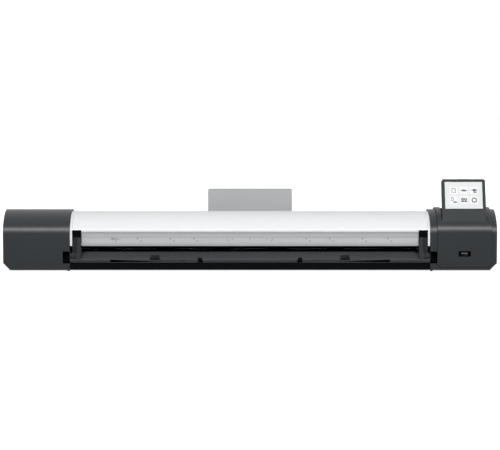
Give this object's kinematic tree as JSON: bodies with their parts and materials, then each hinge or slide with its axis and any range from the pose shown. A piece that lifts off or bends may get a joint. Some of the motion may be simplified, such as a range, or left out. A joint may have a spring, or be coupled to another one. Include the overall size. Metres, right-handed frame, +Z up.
{
  "type": "image scanner",
  "caption": "Wide-format sheet-feed scanner: end housings, a hinged lid over the feed mouth, a sloped tray, a tilting touch display and a rear return guide.",
  "frame": {"origin": "on the ground under the middle of the scanner's width and depth", "axes": "+X to the right as seen from the front, +Y from the feed mouth to the exit, +Z up"},
  "size_m": [0.92, 0.182, 0.17],
  "materials": {
    "housing": "fine texture, satin",
    "lid_white": "satin",
    "tray_grey": "satin",
    "pan_black": "powder coat",
    "motor_black": "satin",
    "black_plastic": "satin",
    "silver": "satin",
    "aluminium": "turned",
    "guide_grey": "satin",
    "steel": "zinc plated",
    "rubber": "matte",
    "glass": "clear",
    "screen": "glossy",
    "board_green": "satin",
    "brass": "satin",
    "white_plate": "satin"
  },
  "bodies": {
    "base": {"base_pan": "pan_black", "left_end_cover": "housing", "right_end_cover": "housing", "side_plate_left": "steel", "side_plate_right": "steel", "control_pod": "housing", "document_tray": "tray_grey", "entry_upright_left": "tray_grey", "entry_upright_right": "tray_grey", "scan_glass": "glass", "glass_rail_front": "black_plastic", "glass_rail_rear": "black_plastic", "sensor_carrier": "steel", "image_sensor_left": "black_plastic", "image_sensor_centre": "black_plastic", "image_sensor_right": "black_plastic", "exit_table": "tray_grey", "rear_cover": "housing", "return_guide": "guide_grey", "bearing_block_left": "brass", "bearing_block_right": "brass", "drive_motor": "motor_black", "motor_bracket": "steel", "drive_belt": "rubber", "main_board": "board_green", "power_board": "board_green", "connector_panel": "steel", "power_inlet": "black_plastic", "network_port": "steel", "rear_usb_port": "steel", "front_usb_socket": "steel", "display_hinge_pin": "steel", "lid_hinge_pin_left": "steel", "lid_hinge_pin_right": "steel", "foot_strip_left": "rubber", "foot_strip_right": "rubber"},
    "lid": {"lid_cover": "lid_white", "lid_cheek_left": "lid_white", "lid_cheek_right": "lid_white", "lid_frame": "steel", "upper_guide": "black_plastic", "scale_strip": "silver", "plate_spring": "steel"},
    "background": {"background_plate": "white_plate"},
    "front_idler": {"front_idler_roller": "rubber"},
    "rear_idler": {"rear_idler_roller": "rubber"},
    "front_roller": {"front_roller_shaft": "steel", "front_roller_cover": "rubber", "front_roller_pulley": "aluminium"},
    "rear_roller": {"rear_roller_shaft": "steel", "rear_roller_cover": "rubber", "rear_roller_pulley": "aluminium"},
    "motor_drive": {"motor_pulley": "aluminium"},
    "release_left": {"lid_release_lever_left": "black_plastic"},
    "release_right": {"lid_release_lever_right": "black_plastic"},
    "support_left": {"document_support_left": "tray_grey"},
    "support_right": {"document_support_right": "tray_grey"},
    "display": {"display_bezel": "housing", "display_screen": "screen"},
    "button": {"power_button": "black_plastic"}
  },
  "joints": [
    {"name": "lid_hinge", "type": "hinge", "parent": "base", "child": "lid", "pos_m": [0, 0.04711, 0.07809], "axis": [-1, 0, 0], "range_deg": [0, 60]},
    {"name": "plate_float", "type": "slide", "parent": "lid", "child": "background", "axis": [0, 0, 1], "range_m": [0, 0.0015], "stiffness_N_per_m": 1500, "springref_m": -0.006, "deforming": ["plate_spring"]},
    {"name": "front_idler_spin", "type": "hinge", "parent": "lid", "child": "front_idler", "pos_m": [0, -0.03949, 0.0408], "axis": [1, 0, 0], "continuous": true},
    {"name": "rear_idler_spin", "type": "hinge", "parent": "lid", "child": "rear_idler", "pos_m": [0, 0.04051, 0.0408], "axis": [1, 0, 0], "continuous": true},
    {"name": "front_roller_spin", "type": "hinge", "parent": "base", "child": "front_roller", "pos_m": [0, -0.03949, 0.0265], "axis": [1, 0, 0], "continuous": true},
    {"name": "rear_roller_spin", "type": "hinge", "parent": "base", "child": "rear_roller", "pos_m": [0, 0.04051, 0.0265], "axis": [1, 0, 0], "continuous": true},
    {"name": "motor_spin", "type": "hinge", "parent": "base", "child": "motor_drive", "pos_m": [-0.35, 0.00051, 0.0625], "axis": [1, 0, 0], "continuous": true},
    {"name": "release_left_press", "type": "hinge", "parent": "lid", "child": "release_left", "pos_m": [-0.32295, -0.07599, 0.0525], "axis": [-1, 0, 0], "range_deg": [0, 5], "stiffness_Nm_per_rad": 0.8, "springref_deg": -5.73},
    {"name": "release_right_press", "type": "hinge", "parent": "lid", "child": "release_right", "pos_m": [0.32295, -0.07599, 0.0525], "axis": [-1, 0, 0], "range_deg": [0, 5], "stiffness_Nm_per_rad": 0.8, "springref_deg": -5.73},
    {"name": "support_left_swing", "type": "hinge", "parent": "base", "child": "support_left", "pos_m": [-0.097, -0.08099, 0.0163], "axis": [0, 0, 1], "range_deg": [0, 90]},
    {"name": "support_right_swing", "type": "hinge", "parent": "base", "child": "support_right", "pos_m": [0.097, -0.08099, 0.0163], "axis": [0, 0, -1], "range_deg": [0, 90]},
    {"name": "display_tilt", "type": "hinge", "parent": "base", "child": "display", "pos_m": [0.4, -0.07659, 0.0914], "axis": [-1, 0, 0], "range_deg": [0, 59.5]},
    {"name": "power_button_press", "type": "slide", "parent": "base", "child": "button", "axis": [0, -1, 0], "range_m": [0, 0.0015], "stiffness_N_per_m": 800, "springref_m": -0.001}
  ],
  "couplings": [
    {"joint": "rear_roller_spin", "follows": "front_roller_spin", "ratio": 1},
    {"joint": "motor_spin", "follows": "front_roller_spin", "ratio": 1.6667}
  ]
}
